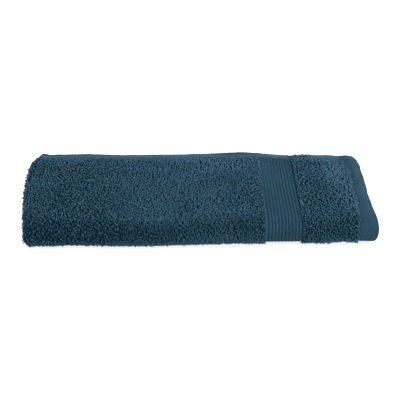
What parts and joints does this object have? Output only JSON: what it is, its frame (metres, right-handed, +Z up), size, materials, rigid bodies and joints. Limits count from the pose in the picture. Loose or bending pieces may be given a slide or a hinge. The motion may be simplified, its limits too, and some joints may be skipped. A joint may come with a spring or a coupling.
{
  "type": "hand towel",
  "caption": "Cotton terry hand towel, folded crosswise and then like a letter, with hemmed edges and a ribbed woven border; it lies flat on a shelf or worktop.",
  "frame": {"origin": "middle of the folded towel's footprint, on the surface that it lies on", "axes": "+X along the long side, towards the end hems and the ribbed border; +Y from the full-height front fold to the back, where the outer side hem lies on top; +Z up"},
  "size_m": [0.4734, 0.1768, 0.0442],
  "materials": {
    "terry_cloth": "navy teal cotton terry, matt, with a flat woven ribbed border and hems"
  },
  "bodies": {
    "root": {"folded_towel": "terry_cloth"}
  },
  "joints": []
}
